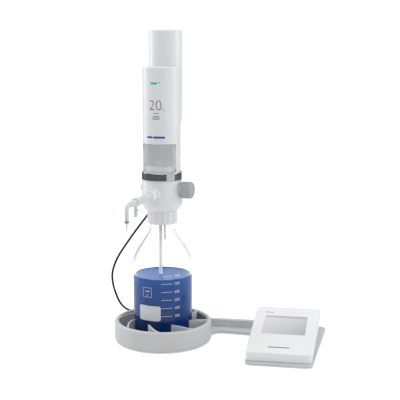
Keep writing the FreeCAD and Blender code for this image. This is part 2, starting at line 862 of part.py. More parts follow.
def front_housing():
    inner = housing_r - housing_wall
    tube = spun([(inner, disc_top), (housing_r, disc_top), (housing_r, body_top), (0, body_top),
                 (0, lid_z), (inner, lid_z)], [0, 0, 1.5, 0, 0, 1])
    front = -90
    opening = sector(housing_r + 1, inner - 1, disc_top - 1, window_top,
                     front - window_half, front + window_half)
    shell = cut(tube, opening)
    ledges = [sector(inner + 0.4, inner - 1.8, disc_top, window_top + 2, front + side - 4, front + side + 4)
              for side in (-window_half - 1, window_half + 1)]
    rest = spun([(inner - 2.2, window_top + 2.6), (inner + 0.4, window_top + 1), (inner + 0.4, plate_z()),
                 (inner - 2.2, plate_z())])
    lug = block(-20, 20, inner + 0.6, column_y + column_foot_r - 9, column_z + 3, column_z + 9)
    lug = cut(lug, block(-9, 9, 0, 60, column_z, column_z + 12))
    lug = lug.common(cylinder(column_foot_r - column_wall - snug, column_z, column_z + 12, 0, column_y))
    shell = fused(shell, *ledges, rest, lug)
    shaft_hole = cylinder(5, lid_z - 1, body_top + 1, 0, column_y)
    wire_hole = block(-8, 8, inner - 4, housing_r + 1, column_z + 22, column_z + 60)
    motor_holes = [cylinder(1.3, lid_z - 1, body_top + 1, side * motor_screw_x, column_y)
                   for side in (-1, 1)]
    pinion_room = cylinder(pinion_tip_r + loose, gear_z - loose, gear_z + gear_width + loose, 0, column_y)
    pillars = [cylinder(3, chassis_z + chassis_thick, lid_z + 0.5, p.x, p.y) for p in pillar_places()]
    shell = fused(shell, *pillars)
    pillar_holes = [cylinder(1.25, chassis_z, lid_z - 1, p.x, p.y) for p in pillar_places()]
    lug_holes = [cylinder(1.1, column_z, column_z + 12, side * column_screw_x, column_screw_y())
                 for side in (-1, 1)]
    return cut(shell, shaft_hole, wire_hole, pinion_room, *motor_holes, *pillar_holes, *lug_holes,
               *at_window_screws(bar_x(0.9, 0, housing_r + 8.5)))


def at_window_screws(shape):
    """The shape, which lies along +X from the axis, turned to each of the window's four screws."""
    return [moved(turned(shape, side * (window_half - window_screw_in) - 90), 0, 0, z)
            for z in (ring_top + 4.5, window_top - 4.5) for side in (-1, 1)]


def window_pane():
    outer = housing_r
    half = window_half - 0.3
    pane = sector(outer, outer - 2, disc_top, window_top - snug, -90 - half, -90 + half)
    return cut(pane, *at_window_screws(bar_x(0.9, 0, housing_r + 8.5)))


def window_screws():
    one = moved(turned(screw(0.85, 4.2, 1.5, 0.6), 90, ORIGIN, Y), housing_r + hair)
    return group(at_window_screws(one))


def column_screw_y():
    return column_y + column_foot_r - 12


def rear_housing():
    wall = column_wall
    outside = spun([(0, column_z), (column_foot_r, column_z), (column_r, column_z + column_taper),
                    (column_r, column_top), (0, column_top)], [0, 1.5, 20, 2, 0], 0, column_y)
    inside = spun([(0, column_z + wall), (column_foot_r - wall, column_z + wall),
                   (column_r - wall, column_z + column_taper), (column_r - wall, column_top - wall),
                   (0, column_top - wall)], [0, 0, 18, 1, 0], 0, column_y)
    front_body = cylinder(housing_r + snug, column_z - 5, body_top)
    shell = cut(outside, inside, front_body)
    gland_hole = cylinder(3.25, column_z - 1, column_z + wall + 1, 0, gland_y)
    screw_holes = [cylinder(1.6, column_z - 1, column_z + wall + 1, side * column_screw_x, column_screw_y())
                   for side in (-1, 1)]
    return cut(shell, gland_hole, *screw_holes)


def head_screws():
    """Pan-head screws that hold the column, the chassis plate's pillars and the motor."""
    column_screw = turned(screw(1.05, 8, 2.2, 1.4), 180, ORIGIN, X)
    pillar_screw = turned(screw(1.2, 9, 2.2, 1.2), 180, ORIGIN, X)
    motor_screw = turned(screw(0.95, 7, 1.9, 1.2), 180, ORIGIN, X)
    places = [moved(column_screw, side * column_screw_x, column_screw_y(), column_z - hair)
              for side in (-1, 1)]
    places += [moved(pillar_screw, p.x, p.y, chassis_z - hair) for p in pillar_places()]
    places += [moved(motor_screw, side * motor_screw_x, column_y, lid_z - hair) for side in (-1, 1)]
    return group(places)


def cable_gland():
    wall = column_wall
    return spun([(0, column_z - gland_length), (2.9, column_z - gland_length), (4.3, column_z - 3),
                 (4.3, column_z - hair), (3.2, column_z - hair), (3.2, column_z + wall + hair),
                 (4.1, column_z + wall + hair), (4.1, column_z + wall + 2.5), (0, column_z + wall + 2.5)],
                [0, 0.6, 1, 0, 0, 0, 0, 0, 0], 0, gland_y)


def drive_board():
    y = housing_r + 1.2
    z0 = column_z + 24
    board = block(-14, 14, y, y + board_thick, z0, z0 + 58)
    parts = [block(-9, 1, y + board_thick, y + board_thick + 3, z0 + 8, z0 + 22),
             block(-6, 8, y + board_thick, y + board_thick + 1.5, z0 + 30, z0 + 44),
             bar_y(3, y + board_thick, y + board_thick + 5, 9, z0 + 16)]
    return fused(board, *parts)


# ---- dosing cylinder, piston and drive ----

def plate_z():
    return window_top + 5


def glass_cylinder():
    return ring(glass_r, bore_r, disc_top, plate_z() + 2)


def cylinder_oring():
    middle = plug_z - 3.8
    return Part.makeTorus(bore_r - 0.72, 0.7, V(0, 0, middle), Z)


def lower_plate():
    inner = housing_r - housing_wall
    z = plate_z()
    disc = cylinder(inner - 0.2, z, z + 6)
    cylinder_seat = cylinder(glass_r + snug, z - 1, z + 2)
    rod_hole = cylinder(rod_r + 0.6, z - 1, z + 7)
    guide_holes = [cylinder(guide_r, z + 1.5, z + 7, side * guide_spacing) for side in (-1, 1)]
    return cut(disc, cylinder_seat, rod_hole, *guide_holes)


def guide_rods():
    low = plate_z() + 1.5
    return group([cylinder(guide_r, low, chassis_z + 3, side * guide_spacing) for side in (-1, 1)])


def pillar_places():
    return [polar(22.5, angle) for angle in (45, 135, 225, 315)]


def chassis_plate():
    inner = housing_r - housing_wall
    disc = cylinder(inner - 0.2, chassis_z, chassis_z + chassis_thick)
    bearing_seat = cylinder(bearing_r, chassis_z - 1, chassis_z + bearing_width)
    guide_holes = [cylinder(guide_r, chassis_z - 1, chassis_z + 3, side * guide_spacing) for side in (-1, 1)]
    pillar_holes = [cylinder(1.3, chassis_z - 1, chassis_z + 8, p.x, p.y) for p in pillar_places()]
    return cut(disc, bearing_seat, *guide_holes, *pillar_holes)


def spindle_bearing():
    z0 = bearing_z
    z1 = bearing_z + bearing_width
    shell = ring(bearing_r, journal_r + running, z0, z1)
    channel = ring(bearing_r - 2.2, journal_r + 2, z1 - 0.8, z1 + 1)
    return shell.cut(channel)


def piston():
    top = piston_z + piston_height
    seal_top = piston_z + seal_height
    return spun([(0, piston_z), (piston_core_r, piston_z), (piston_core_r, seal_top),
                 (bore_r - 0.8, seal_top), (bore_r - 0.8, top), (0, top)], [0, 0.8, 0, 0, 0.8, 0])


def piston_seal():
    lip = bore_r - running
    top = piston_z + seal_height - hair
    return spun([(piston_core_r, piston_z), (lip - 0.6, piston_z), (lip, piston_z + 1.2), (lip, piston_z + 2.4),
                 (lip - 0.9, piston_z + 3), (lip, piston_z + 3.8), (lip, top), (piston_core_r, top)])


def piston_rod():
    tube = ring(rod_r, rod_bore_r, rod_z + 6, carriage_z)
    return fused(tube, cylinder(rod_r, rod_z, rod_z + 6))


def carriage():
    z0 = carriage_z
    z1 = carriage_z + carriage_thick
    half = guide_spacing + 6
    bridge = plate([(-half, -8), (half, -8), (half, 8), (-half, 8)], [5, 5, 5, 5], z0, z1)
    nut_hole = cylinder(nut_hole_r, z0 - 1, z1 + 1)
    guide_holes = [cylinder(guide_r + running, z0 - 1, z1 + 1, side * guide_spacing) for side in (-1, 1)]
    return cut(bridge, nut_hole, *guide_holes)


def spindle_nut():
    bore = screw_r + running
    top = nut_z + nut_height
    stem_r = nut_hole_r - snug
    return spun([(bore, carriage_z), (stem_r, carriage_z), (stem_r, nut_z), (nut_r, nut_z), (nut_r, top),
                 (bore, top)], [0, 0, 0, 0, 1, 0])


def lead_screw():
    tip = carriage_z - 4
    top = chassis_z - 1
    turns = int((top - tip - 3) / screw_pitch)
    profile = [(0, tip), (screw_r - 0.8, tip)]
    for turn in range(turns):
        z = tip + 1 + turn * screw_pitch
        profile += [(screw_r - 0.8, z), (screw_r, z + 0.8), (screw_r, z + 2.2), (screw_r - 0.8, z + 3)]
    profile += [(screw_r - 0.8, top), (journal_r, top), (journal_r, gear_z + gear_width + 1),
                (0, gear_z + gear_width + 1)]
    return spun(profile)


def gear(teeth, bore_radius, start_angle):
    """Spur gear with 20 degree involute flanks and a little backlash."""
    pitch_r = gear_module * teeth / 2
    base_r = pitch_r * math.cos(math.radians(20))
    tip_r = pitch_r + addendum * gear_module
    root_r = pitch_r - 1.2 * gear_module
    backlash = 0.06
    half_pitch = (math.pi * gear_module / 2 - backlash) / 2 / pitch_r
    roll_at_pitch = math.sqrt((pitch_r / base_r) ** 2 - 1)
    offset = half_pitch + roll_at_pitch - math.atan(roll_at_pitch)
    flank = [(root_r, offset)] if root_r < base_r else []
    low = max(root_r, base_r)
    for step in range(6):
        r = low + (tip_r - low) * step / 5
        roll = math.sqrt(max((r / base_r) ** 2 - 1, 0))
        flank.append((r, offset - (roll - math.atan(roll))))
    points = []
    for tooth in range(teeth):
        middle = math.radians(start_angle) + 2 * math.pi * tooth / teeth
        points += [V(r * math.cos(middle - a), r * math.sin(middle - a), 0) for r, a in flank]
        points += [V(r * math.cos(middle + a), r * math.sin(middle + a), 0) for r, a in reversed(flank)]
    face = Part.Face(Part.makePolygon(points + [points[0]]))
    return face.extrude(V(0, 0, gear_width)).cut(cylinder(bore_radius, -1, gear_width + 1))


def spindle_gear():
    return moved(gear(spindle_teeth, journal_r, 0), 0, 0, gear_z)


def motor_pinion():
    return moved(gear(pinion_teeth, motor_shaft_r, 180.0 / pinion_teeth), 0, column_y, gear_z)


def motor_shaft():
    return cylinder(motor_shaft_r, gear_z - 0.5, body_top + 32, 0, column_y)


def drive_motor():
    z0 = body_top
    flange = cylinder(4.6, z0 - housing_wall + 0.3, z0 + 3, 0, column_y)
    can = spun([(0, z0 + hair), (motor_r, z0 + hair), (motor_r, z0 + motor_length), (0, z0 + motor_length)],
               [0, 1, 1, 0], 0, column_y)
    cap = cylinder(motor_r - 4, z0 + motor_length - 1, z0 + motor_length + 5, 0, column_y)
    terminals = [block(side * 6 - 1.5, side * 6 + 1.5, column_y + 8, column_y + 9, z0 + motor_length,
                       z0 + motor_length + 8) for side in (-1, 1)]
    bore = cylinder(motor_shaft_r + running, z0 - 5, z0 + 33, 0, column_y)
    screw_holes = [cylinder(1, z0 - 1, z0 + 6, side * motor_screw_x, column_y) for side in (-1, 1)]
    return cut(fused(flange, can, cap, *terminals), bore, *screw_holes)


# ---- head cable with its socket and angled plug ----

def at_socket(shape):
    """From a frame with X out of the tray and the socket's axis at the origin's height."""
    return turned(moved(shape, tray_r, 0, socket_z), socket_angle)


def base_socket():
    body = fused(bar_x(socket_r, -9, 0), bar_x(8, 0, 1.6))
    return at_socket(cut(body, bar_x(socket_r - socket_wall, -7, 3)))


def cable_plug():
    nose = bar_x(socket_r - socket_wall - snug, -6.5, 1.7)
    grip = softened(bar_x(6.8, 1.7, 15), 1.2, lambda e: e.BoundBox.XMin > 14.9)
    boot = Part.makeCone(4.6, 2.8, boot_length, V(boot_place, 0, 0), Y)
    return at_socket(turned(fused(nose, grip, boot), plug_roll, ORIGIN, X))


def cable_points():
    start = turned(Part.Vertex(0, gland_y, column_z - gland_length - hair), head_yaw).Point
    end = at_socket(turned(Part.Vertex(boot_place, boot_length + hair, 0), plug_roll, ORIGIN, X)).Point
    return [start] + [V(*p) for p in cable_route] + [end]


def head_cable():
    """Straight runs joined by the largest tangent arcs that they allow."""
    points = cable_points()
    edges = []
    here = points[0]
    radii = []
    for i in range(1, len(points) - 1):
        before = points[i - 1] - points[i]
        after = points[i + 1] - points[i]
        reach = 0.45 * min(before.Length, after.Length)
        half = before.getAngle(after) / 2
        radius = reach * math.tan(half)
        radii.append(radius)
        before.normalize()
        after.normalize()
        bisector = before + after
        bisector.normalize()
        arc_start = points[i] + before * reach
        arc_end = points[i] + after * reach
        middle = points[i] + bisector * (radius / math.sin(half) - radius)
        edges.append(Part.LineSegment(here, arc_start).toShape())
        edges.append(Part.Arc(arc_start, middle, arc_end).toShape())
        here = arc_end
    edges.append(Part.LineSegment(here, points[-1]).toShape())
    path = Part.Wire(edges)
    section = Part.Wire(Part.Circle(points[0], points[1] - points[0], cable_r).toShape())
    tube = path.makePipeShell([section], True, False)
    print("cable radii", [round(r, 1) for r in radii])
    print("cable length", round(path.Length, 1), "volume", round(tube.Volume, 1),
          "section x length", round(math.pi * cable_r ** 2 * path.Length, 1))
    return tube


# ---- all pieces, from the table up ----

for make in (bottle_tray, link_plinth, base_feet, unit_shell, unit_cover, control_board, unit_screws,
             power_inlet, data_socket, bottle, lip_seal, screw_collar, base_socket, cable_plug,
             head_cable):
    keep(make.__name__, make())

keep("touch_panel", screen_box(screen_lap, -glass_let_in - panel_thick, -glass_let_in))
display_top = -glass_let_in - panel_thick
keep("display_module", screen_box(-1, display_top - display_thick, display_top))

for make in (valve_block, vent_cap, inlet_cage, inlet_ball, outlet_cage, outlet_ball, intake_sleeve,
             intake_tube, return_tube, valve_plug, valve_knob, arm_nut, discharge_arm, discharge_tube,
             nozzle_nut, cannula, cap_holder, tip_cap, clamp_ring, clamp_screw, front_housing,
             window_pane, window_screws, rear_housing, head_screws, cable_gland, drive_board,
             glass_cylinder, cylinder_oring, lower_plate, guide_rods, chassis_plate, spindle_bearing,
             piston, piston_seal, piston_rod, carriage, spindle_nut, lead_screw, spindle_gear,
             motor_pinion, motor_shaft, drive_motor):
    keep_on_head(make.__name__, make())

os.makedirs("parts", exist_ok=True)
for name, shape in pieces.items():
    if not shape.isValid():
        raise ValueError(name + " is not a valid solid")
    shape.exportStep("parts/" + name + ".step")
print(len(pieces), "pieces, stroke", round(stroke, 3))
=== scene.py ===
import bmesh
import bpy
import math
from mathutils import Matrix, Vector


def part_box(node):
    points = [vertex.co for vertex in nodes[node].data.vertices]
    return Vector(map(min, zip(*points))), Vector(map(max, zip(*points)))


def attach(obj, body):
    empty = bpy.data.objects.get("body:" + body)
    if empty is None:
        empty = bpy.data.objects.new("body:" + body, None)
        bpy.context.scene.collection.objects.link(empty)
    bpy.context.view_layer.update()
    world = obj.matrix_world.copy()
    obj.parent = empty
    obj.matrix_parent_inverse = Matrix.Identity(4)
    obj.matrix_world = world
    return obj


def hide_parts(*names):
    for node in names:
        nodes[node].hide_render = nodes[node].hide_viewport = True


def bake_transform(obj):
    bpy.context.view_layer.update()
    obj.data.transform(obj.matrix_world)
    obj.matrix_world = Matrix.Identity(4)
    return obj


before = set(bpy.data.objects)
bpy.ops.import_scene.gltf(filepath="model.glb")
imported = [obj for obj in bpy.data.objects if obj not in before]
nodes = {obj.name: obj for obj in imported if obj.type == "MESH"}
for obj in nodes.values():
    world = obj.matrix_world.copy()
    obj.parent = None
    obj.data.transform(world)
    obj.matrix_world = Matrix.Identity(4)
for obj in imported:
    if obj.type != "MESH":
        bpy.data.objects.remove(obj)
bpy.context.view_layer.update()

# ---- Studio ----
# The table is a plain white sheet of card. A soft box hangs above it, a narrow one stands on each
# side, and two curved dark grey flags give the polished metal something to mirror.

scene = bpy.context.scene
scene.view_settings.view_transform = "Standard"


def new_material(name):
    """Material and its main shader."""
    material = bpy.data.materials.new(name)
    material.use_nodes = True
    return material, material.node_tree.nodes["Principled BSDF"]


def stage_piece(name, vertices, faces, shade):
    """Card of one plain shade that belongs to the studio."""
    mesh = bpy.data.meshes.new(name)
    mesh.from_pydata(vertices, [], faces)
    piece = bpy.data.objects.new(name, mesh)
    scene.collection.objects.link(piece)
    card, shader = new_material(name + "_card")
    shader.inputs["Base Color"].default_value = (shade, shade, shade, 1)
    shader.inputs["Roughness"].default_value = 0.9
    shader.inputs["Specular IOR Level"].default_value = 0.1
    mesh.materials.append(card)
    return piece, card


def brighter_where_seen(tree, socket, unseen, seen):
    """Gives a strength one value for light and another for what is looked at directly."""
    path = tree.nodes.new("ShaderNodeLightPath")
    either = tree.nodes.new("ShaderNodeMath")
    either.operation = "MAXIMUM"
    span = tree.nodes.new("ShaderNodeMapRange")
    span.inputs["To Min"].default_value = unseen
    span.inputs["To Max"].default_value = seen
    tree.links.new(path.outputs["Is Camera Ray"], either.inputs[0])
    tree.links.new(path.outputs["Is Transmission Ray"], either.inputs[1])
    tree.links.new(either.outputs["Value"], span.inputs["Value"])
    tree.links.new(span.outputs["Result"], socket)


table_half = 7
table_z = -0.0004
table_shade = 0.9
table_corners = [(x * table_half, y * table_half, table_z)
                 for x, y in ((-1, -1), (1, -1), (1, 1), (-1, 1))]
_, table_card = stage_piece("table_card", table_corners, [(0, 1, 2, 3)], table_shade)
table_shader = table_card.node_tree.nodes["Principled BSDF"]
table_shader.inputs["Emission Color"].default_value = (1, 1, 1, 1)
brighter_where_seen(table_card.node_tree, table_shader.inputs["Emission Strength"], 0.0, 0.5)
flag_reach = 0.95
flag_height = 0.42
flag_shade = 0.12
flag_steps = 24
for name, first, last in (("flag_left", 122, 308), ("flag_right", -2, 64)):
    foot = []
    for step in range(flag_steps + 1):
        angle = math.radians(first + (last - first) * step / flag_steps)
        foot.append((flag_reach * math.cos(angle), flag_reach * math.sin(angle)))
    corners = [(x, y, z) for z in (0.0, flag_height) for x, y in foot]
    strips = [(i, i + 1, i + flag_steps + 2, i + flag_steps + 1) for i in range(flag_steps)]
    flag, _ = stage_piece(name, corners, strips, flag_shade)
    flag.visible_camera = False
    flag.visible_shadow = False
    flag.visible_diffuse = False
    flag.visible_transmission = False

lamp_aim = Vector((0.05, 0, 0.25))
for name, place, width, height, energy in (("soft_box_above", (-0.15, -0.15, 1.9), 1.6, 1.2, 12.5),
                                           ("soft_box_left", (-1.3, 0.35, 0.6), 0.5, 1.0, 6),
                                           ("soft_box_right", (1.45, 0.3, 0.6), 0.5, 1.0, 5.5)):
    lamp = bpy.data.lights.new(name, "AREA")
    lamp.shape = "RECTANGLE"
    lamp.size = width
    lamp.size_y = height
    lamp.energy = energy
    soft_box = bpy.data.objects.new(name, lamp)
    soft_box.location = place
    soft_box.rotation_euler = (lamp_aim - soft_box.location).to_track_quat("-Z", "Y").to_euler()
    scene.collection.objects.link(soft_box)

room_strength = 0.62
room_strength_seen = 1.05
room = bpy.data.worlds.new("studio_room")
room.use_nodes = True
walls = room.node_tree.nodes["Background"]
walls.inputs["Color"].default_value = (0.985, 0.992, 1.0, 1)
brighter_where_seen(room.node_tree, walls.inputs["Strength"], room_strength, room_strength_seen)
scene.world = room

# The camera's place, lens and angles were fitted to the outlines in the photograph.
camera_place = (0.341, -1.5645, 0.530)
camera_lens = 86.15
camera_height_angle = 10.11
camera_turn = 10.0
camera = bpy.data.objects.new("camera", bpy.data.cameras.new("camera"))
camera.data.sensor_width = 36
camera.data.lens = camera_lens
camera.location = camera_place
camera.rotation_euler = (math.radians(90 - camera_height_angle), 0, math.radians(camera_turn))
scene.collection.objects.link(camera)
scene.camera = camera

# ---- Head cable ----
# Round black data cable, 4 mm thick. It hangs from the gland under the drive column in one free
# bow beside the bottle and goes into its moulded angled plug behind the tray.

cable_diameter = 0.004
cable_route = [
    (0.006356, 0.036044, 0.34698),
    (0.00636, 0.03604, 0.330),
    (0.0062, 0.0390, 0.312),
    (0.0046, 0.0446, 0.292),
    (-0.0025, 0.0480, 0.266),
    (-0.0160, 0.0482, 0.238),
    (-0.0356, 0.0465, 0.210),
    (-0.0549, 0.0462, 0.185),
    (-0.0761, 0.0455, 0.155),
    (-0.0931, 0.0445, 0.129),
    (-0.1024, 0.0440, 0.103),
    (-0.1015, 0.0450, 0.082),
    (-0.0968, 0.0482, 0.062),
    (-0.0910, 0.0535, 0.044),
    (-0.0822, 0.0608, 0.031),
    (-0.0708, 0.0696, 0.0251),
    (-0.058056, 0.075542, 0.020031),
]


def noise(material, scale, detail, stretch=(1, 1, 1)):
    """Noise in the piece's own coordinates, which may be stretched along an axis."""
    tree = material.node_tree
    place = tree.nodes.new("ShaderNodeTexCoord")
    mapping = tree.nodes.new("ShaderNodeMapping")
    mapping.inputs["Scale"].default_value = stretch
    texture = tree.nodes.new("ShaderNodeTexNoise")
    texture.inputs["Scale"].default_value = scale
    texture.inputs["Detail"].default_value = detail
    tree.links.new(place.outputs["Object"], mapping.inputs["Vector"])
    tree.links.new(mapping.outputs["Vector"], texture.inputs["Vector"])
    return texture.outputs["Fac"]


def spread(material, source, low, high, target):
    """Runs a pattern, which keeps mostly between 0.25 and 0.75, into a shader's number."""
    tree = material.node_tree
    span = tree.nodes.new("ShaderNodeMapRange")
    span.inputs["From Min"].default_value = 0.25
    span.inputs["From Max"].default_value = 0.75
    span.inputs["To Min"].default_value = low
    span.inputs["To Max"].default_value = high
    tree.links.new(source, span.inputs["Value"])
    tree.links.new(span.outputs["Result"], target)


def shades(material, source, stops, target):
    """Colours along a 0 to 1 pattern, as (position, colour)."""
    tree = material.node_tree
    ramp = tree.nodes.new("ShaderNodeValToRGB")
    elements = ramp.color_ramp.elements
    while len(elements) < len(stops):
        elements.new(0.5)
    for element, (position, colour) in zip(elements, stops):
        element.position = position
        element.color = (*colour, 1)
    tree.links.new(source, ramp.inputs["Fac"])
    tree.links.new(ramp.outputs["Color"], target)


def grain(material, pattern, depth, strength=0.5):
    """Fine relief from a pattern, this deep at most."""
    tree = material.node_tree
    bump = tree.nodes.new("ShaderNodeBump")
    bump.inputs["Strength"].default_value = strength
    bump.inputs["Distance"].default_value = depth
    tree.links.new(pattern, bump.inputs["Height"])
    tree.links.new(bump.outputs["Normal"], tree.nodes["Principled BSDF"].inputs["Normal"])


def clouded(material, colour, uneven, scale, detail=3):
    """Base colour that drifts this share darker and lighter over the piece."""
    darker = [part * (1 - uneven) for part in colour]
    lighter = [min(1.0, part * (1 + uneven)) for part in colour]
    shader = material.node_tree.nodes["Principled BSDF"]
    shades(material, noise(material, scale, detail), [(0.3, darker), (0.7, lighter)],
           shader.inputs["Base Color"])


def moulding(name, colour, roughness, grain_size, grain_depth, uneven=0.03, coat=0.0, milky=0.0):
    """Moulded plastic or rubber: a fine grain, a faint cloud of tone and slightly uneven gloss."""
    material, shader = new_material(name)
    shader.inputs["Coat Weight"].default_value = coat
    shader.inputs["Coat Roughness"].default_value = 0.22
    if milky:
        shader.inputs["Subsurface Weight"].default_value = milky
        shader.inputs["Subsurface Radius"].default_value = (1.0, 1.0, 1.0)
        shader.inputs["Subsurface Scale"].default_value = 0.004
    clouded(material, colour, uneven, 22, 4)
    spread(material, noise(material, 90, 2), roughness * 0.9, roughness * 1.12,
           shader.inputs["Roughness"])
    grain(material, noise(material, 1 / grain_size, 2), grain_depth)
    return material


def finish_nodes(names, material):
    """Gives these CAD pieces one material."""
    for name in names:
        nodes[name].data.materials.clear()
        nodes[name].data.materials.append(material)


cable_curve = bpy.data.curves.new("head_cable_line", "CURVE")
cable_curve.dimensions = "3D"
cable_curve.resolution_u = 24
spline = cable_curve.splines.new("NURBS")
spline.points.add(len(cable_route) - 1)
for point, place in zip(spline.points, cable_route):
    point.co = (*place, 1)
spline.order_u = 3
spline.use_endpoint_u = True
cable_line = bpy.data.objects.new("head_cable_line", cable_curve)
scene.collection.objects.link(cable_line)


def evaluated_mesh(source):
    """Plain mesh of an object as it is after its modifiers and curve settings."""
    bpy.context.view_layer.update()
    graph = bpy.context.evaluated_depsgraph_get()
    return bpy.data.meshes.new_from_object(source.evaluated_get(graph), depsgraph=graph)


def put_in_scene(name, mesh, material, body):
    """A finished mesh with its material, riding on its body."""
    mesh.materials.clear()
    mesh.materials.append(material)
    piece = bpy.data.objects.new(name, mesh)
    scene.collection.objects.link(piece)
    if body:
        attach(piece, body)
    return piece


cable_path = [vertex.co.copy() for vertex in evaluated_mesh(cable_line).vertices]
cable_curve.bevel_depth = cable_diameter / 2
cable_curve.bevel_resolution = 7
cable_curve.use_fill_caps = True
cable_mesh = evaluated_mesh(cable_line)
cable_mesh.shade_smooth()
bpy.data.objects.remove(cable_line)
sheath = moulding("cable_sheath", (0.018, 0.018, 0.02), 0.42, 0.0006, 0.00001, uneven=0.15)
head_cable = put_in_scene("head_cable_sheath", cable_mesh, sheath, None)
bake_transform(head_cable)
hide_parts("head_cable")

# ---- Base ----
# Tray, link arm and plinth are one light grey moulding with a fine spark-eroded grain. It stands
# on black rubber feet, and a black round socket for the head cable sits in the tray's rear.

base_plastic = moulding("base_plastic", (0.60, 0.61, 0.615), 0.5, 0.0007, 0.00003, 0.02)
finish_nodes(["bottle_tray", "link_plinth"], base_plastic)
foot_rubber = moulding("foot_rubber", (0.03, 0.03, 0.03), 0.8, 0.0005, 0.00003, 0.2)
finish_nodes(["base_feet"], foot_rubber)
black_plastic = moulding("black_plastic", (0.022, 0.022, 0.024), 0.38, 0.0008, 0.00002, 0.1)
finish_nodes(["base_socket", "cable_plug", "cable_gland", "power_inlet", "data_socket", "display_module"],
             black_plastic)

# ---- Control unit ----
# A low white wedge in two moulded halves, screwed down from under the plinth. The cover has a
# fine satin grain, and a touch panel lies a little below its sloping face.

unit_plastic = moulding("unit_plastic", (0.86, 0.865, 0.875), 0.4, 0.0006, 0.000018, 0.012, coat=0.12)
finish_nodes(["unit_cover", "unit_shell"], unit_plastic)
board_laminate = moulding("board_laminate", (0.02, 0.11, 0.05), 0.45, 0.0012, 0.00002, 0.25)
finish_nodes(["control_board", "drive_board"], board_laminate)


def touch_film(name):
    """Silvery screen behind a glossy film, its colour painted a little darker to the lower right as a painted
    reflection of the light from the upper left, with a fine dot grid.
    """
    material, shader = new_material(name)
    tree = material.node_tree
    place = tree.nodes.new("ShaderNodeTexCoord")
    mapping = tree.nodes.new("ShaderNodeMapping")
    lowest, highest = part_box("touch_panel")
    size = highest - lowest
    mapping.vector_type = "POINT"
    mapping.inputs["Scale"].default_value = (1 / size[0], 1 / size[1], 1)
    mapping.inputs["Location"].default_value = (-lowest[0] / size[0], -lowest[1] / size[1], 0)
    split = tree.nodes.new("ShaderNodeSeparateXYZ")
    across = tree.nodes.new("ShaderNodeMath")
    across.operation = "SUBTRACT"
    halved = tree.nodes.new("ShaderNodeMath")
    halved.operation = "MULTIPLY_ADD"
    halved.inputs[1].default_value = 0.5
    halved.inputs[2].default_value = 0.5
    tree.links.new(place.outputs["Object"], mapping.inputs["Vector"])
    tree.links.new(mapping.outputs["Vector"], split.inputs["Vector"])
    tree.links.new(split.outputs["X"], across.inputs[0])
    tree.links.new(split.outputs["Y"], across.inputs[1])
    tree.links.new(across.outputs["Value"], halved.inputs[0])
    # Painted reflection: the screen's colour runs from light grey at the upper left to darker grey at the
    # lower right.
    painted_reflection_tones = [(0.1, (0.74, 0.75, 0.76)), (0.55, (0.60, 0.61, 0.62)), (0.95, (0.42, 0.43, 0.44))]
    shades(material, halved.outputs["Value"], painted_reflection_tones, shader.inputs["Base Color"])
    spread(material, noise(material, 120, 2), 0.12, 0.17, shader.inputs["Roughness"])
    shader.inputs["Coat Weight"].default_value = 0.5
    shader.inputs["Coat Roughness"].default_value = 0.04
    grain(material, noise(material, 2500, 1), 0.000004, 0.3)
    return material


finish_nodes(["touch_panel"], touch_film("touch_film"))


def metal(name, colour, roughness, scale, stretch, uneven=0.04):
    """Machined or rolled metal: its tool marks run along the axis with the small stretch."""
    material, shader = new_material(name)
    shader.inputs["Metallic"].default_value = 1.0
    marks = noise(material, scale, 3, stretch)
    mark_depth = 0.000008
    clouded(material, colour, uneven, 40)
    spread(material, marks, roughness * 0.8, roughness * 1.25, shader.inputs["Roughness"])
    grain(material, marks, mark_depth, 0.35)
    return material


screw_steel = metal("screw_steel", (0.56, 0.56, 0.57), 0.3, 400, (1, 1, 1))
finish_nodes(["unit_screws", "head_screws", "clamp_screw"], screw_steel)

# ---- Bottle ----
# One-litre laboratory bottle of blown borosilicate glass: thick foot with a shallow punt, sloping
# shoulder and a threaded neck. It stands free between the tray's fins.


def rounded(points, radii, steps):
    """Outline with its corners rounded by arcs, as (radius, height) in millimetres."""
    flat = [Vector(point) for point in points]
    line = []
    for i, corner in enumerate(flat):
        if not radii[i]:
            line.append(tuple(corner))
            continue
        before = (flat[i - 1] - corner).normalized()
        after = (flat[i + 1] - corner).normalized()
        half = before.angle(after) / 2
        middle = corner + (before + after).normalized() * (radii[i] / math.sin(half))
        first = corner + before * (radii[i] / math.tan(half)) - middle
        last = corner + after * (radii[i] / math.tan(half)) - middle
        sweep = first.angle_signed(last)
        for step in range(steps + 1):
            turn = -sweep * step / steps
            spun_to = Vector((first.x * math.cos(turn) - first.y * math.sin(turn),
                              first.x * math.sin(turn) + first.y * math.cos(turn)))
            line.append(tuple(middle + spun_to))
    return line


def lathed(line, segments):
    """Closed skin spun about the Z axis from an outline in millimetres, whose ends are on the axis."""
    vertices = []
    faces = []
    rings = []
    for radius, height in line:
        if radius < 1e-6:
            rings.append([len(vertices)] * segments)
            vertices.append((0, 0, height / 1000))
            continue
        rings.append(list(range(len(vertices), len(vertices) + segments)))
        for step in range(segments):
            angle = 2 * math.pi * step / segments
            vertices.append((radius * math.cos(angle) / 1000, radius * math.sin(angle) / 1000,
                             height / 1000))
    for low, high in zip(rings, rings[1:]):
        for step in range(segments):
            following = (step + 1) % segments
            face = [low[step], low[following], high[following], high[step]]
            faces.append(list(dict.fromkeys(face)))
    mesh = bpy.data.meshes.new("lathed")
    mesh.from_pydata(vertices, [], faces)
    mesh.shade_smooth()
    mesh.set_sharp_from_angle(angle=math.radians(40))
    return mesh


